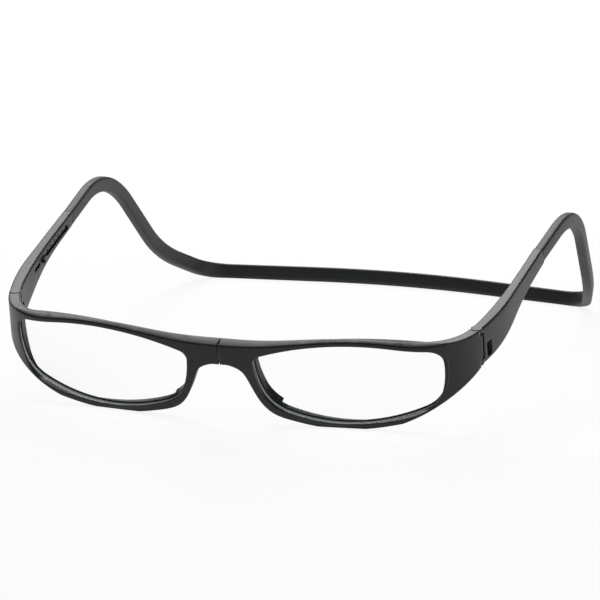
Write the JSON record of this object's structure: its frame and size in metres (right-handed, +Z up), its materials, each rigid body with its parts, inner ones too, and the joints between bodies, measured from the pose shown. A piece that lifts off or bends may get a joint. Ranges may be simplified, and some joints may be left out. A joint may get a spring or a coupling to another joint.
{
  "type": "magnetic bridge reading glasses",
  "caption": "Reading glasses that part at a magnetic bridge, with hinged half fronts and temple sleeves that slide on a one-piece headband.",
  "frame": {"origin": "centre of the bounding box on the table, between the rims and the back of the headband", "axes": "+X to the wearer's left, +Y from the lenses to the back of the headband, +Z up"},
  "size_m": [0.1446, 0.1882, 0.0439],
  "materials": {
    "frame_plastic": "satin black moulded plastic",
    "band_plastic": "satin black flexible plastic",
    "lens_plastic": "clear polished plastic",
    "pin_steel": "bright steel",
    "magnet_nickel": "nickel plate"
  },
  "bodies": {
    "headband": {"headband": "band_plastic", "adjuster_peg_left": "frame_plastic", "adjuster_peg_right": "frame_plastic"},
    "temple_left": {"temple_sleeve_left": "frame_plastic", "hinge_pin_left": "pin_steel"},
    "temple_right": {"temple_sleeve_right": "frame_plastic", "hinge_pin_right": "pin_steel"},
    "front_left": {"front_half_left": "frame_plastic", "lens_left": "lens_plastic", "bridge_magnet_left": "magnet_nickel"},
    "front_right": {"front_half_right": "frame_plastic", "lens_right": "lens_plastic", "bridge_magnet_right": "magnet_nickel"}
  },
  "joints": [
    {"name": "temple_left_slide", "type": "slide", "parent": "headband", "child": "temple_left", "axis": [0, -0.9796, -0.201], "range_m": [0, 0.02]},
    {"name": "temple_right_slide", "type": "slide", "parent": "headband", "child": "temple_right", "axis": [0, -0.9796, -0.201], "range_m": [0, 0.02]},
    {"name": "front_left_hinge", "type": "hinge", "parent": "temple_left", "child": "front_left", "pos_m": [0.06778, -0.06871, 0.0285], "axis": [-0.0151, -0.201, 0.9795], "range_deg": [0, 55]},
    {"name": "front_right_hinge", "type": "hinge", "parent": "temple_right", "child": "front_right", "pos_m": [-0.06778, -0.06871, 0.0285], "axis": [-0.0151, 0.201, -0.9795], "range_deg": [0, 55]}
  ]
}
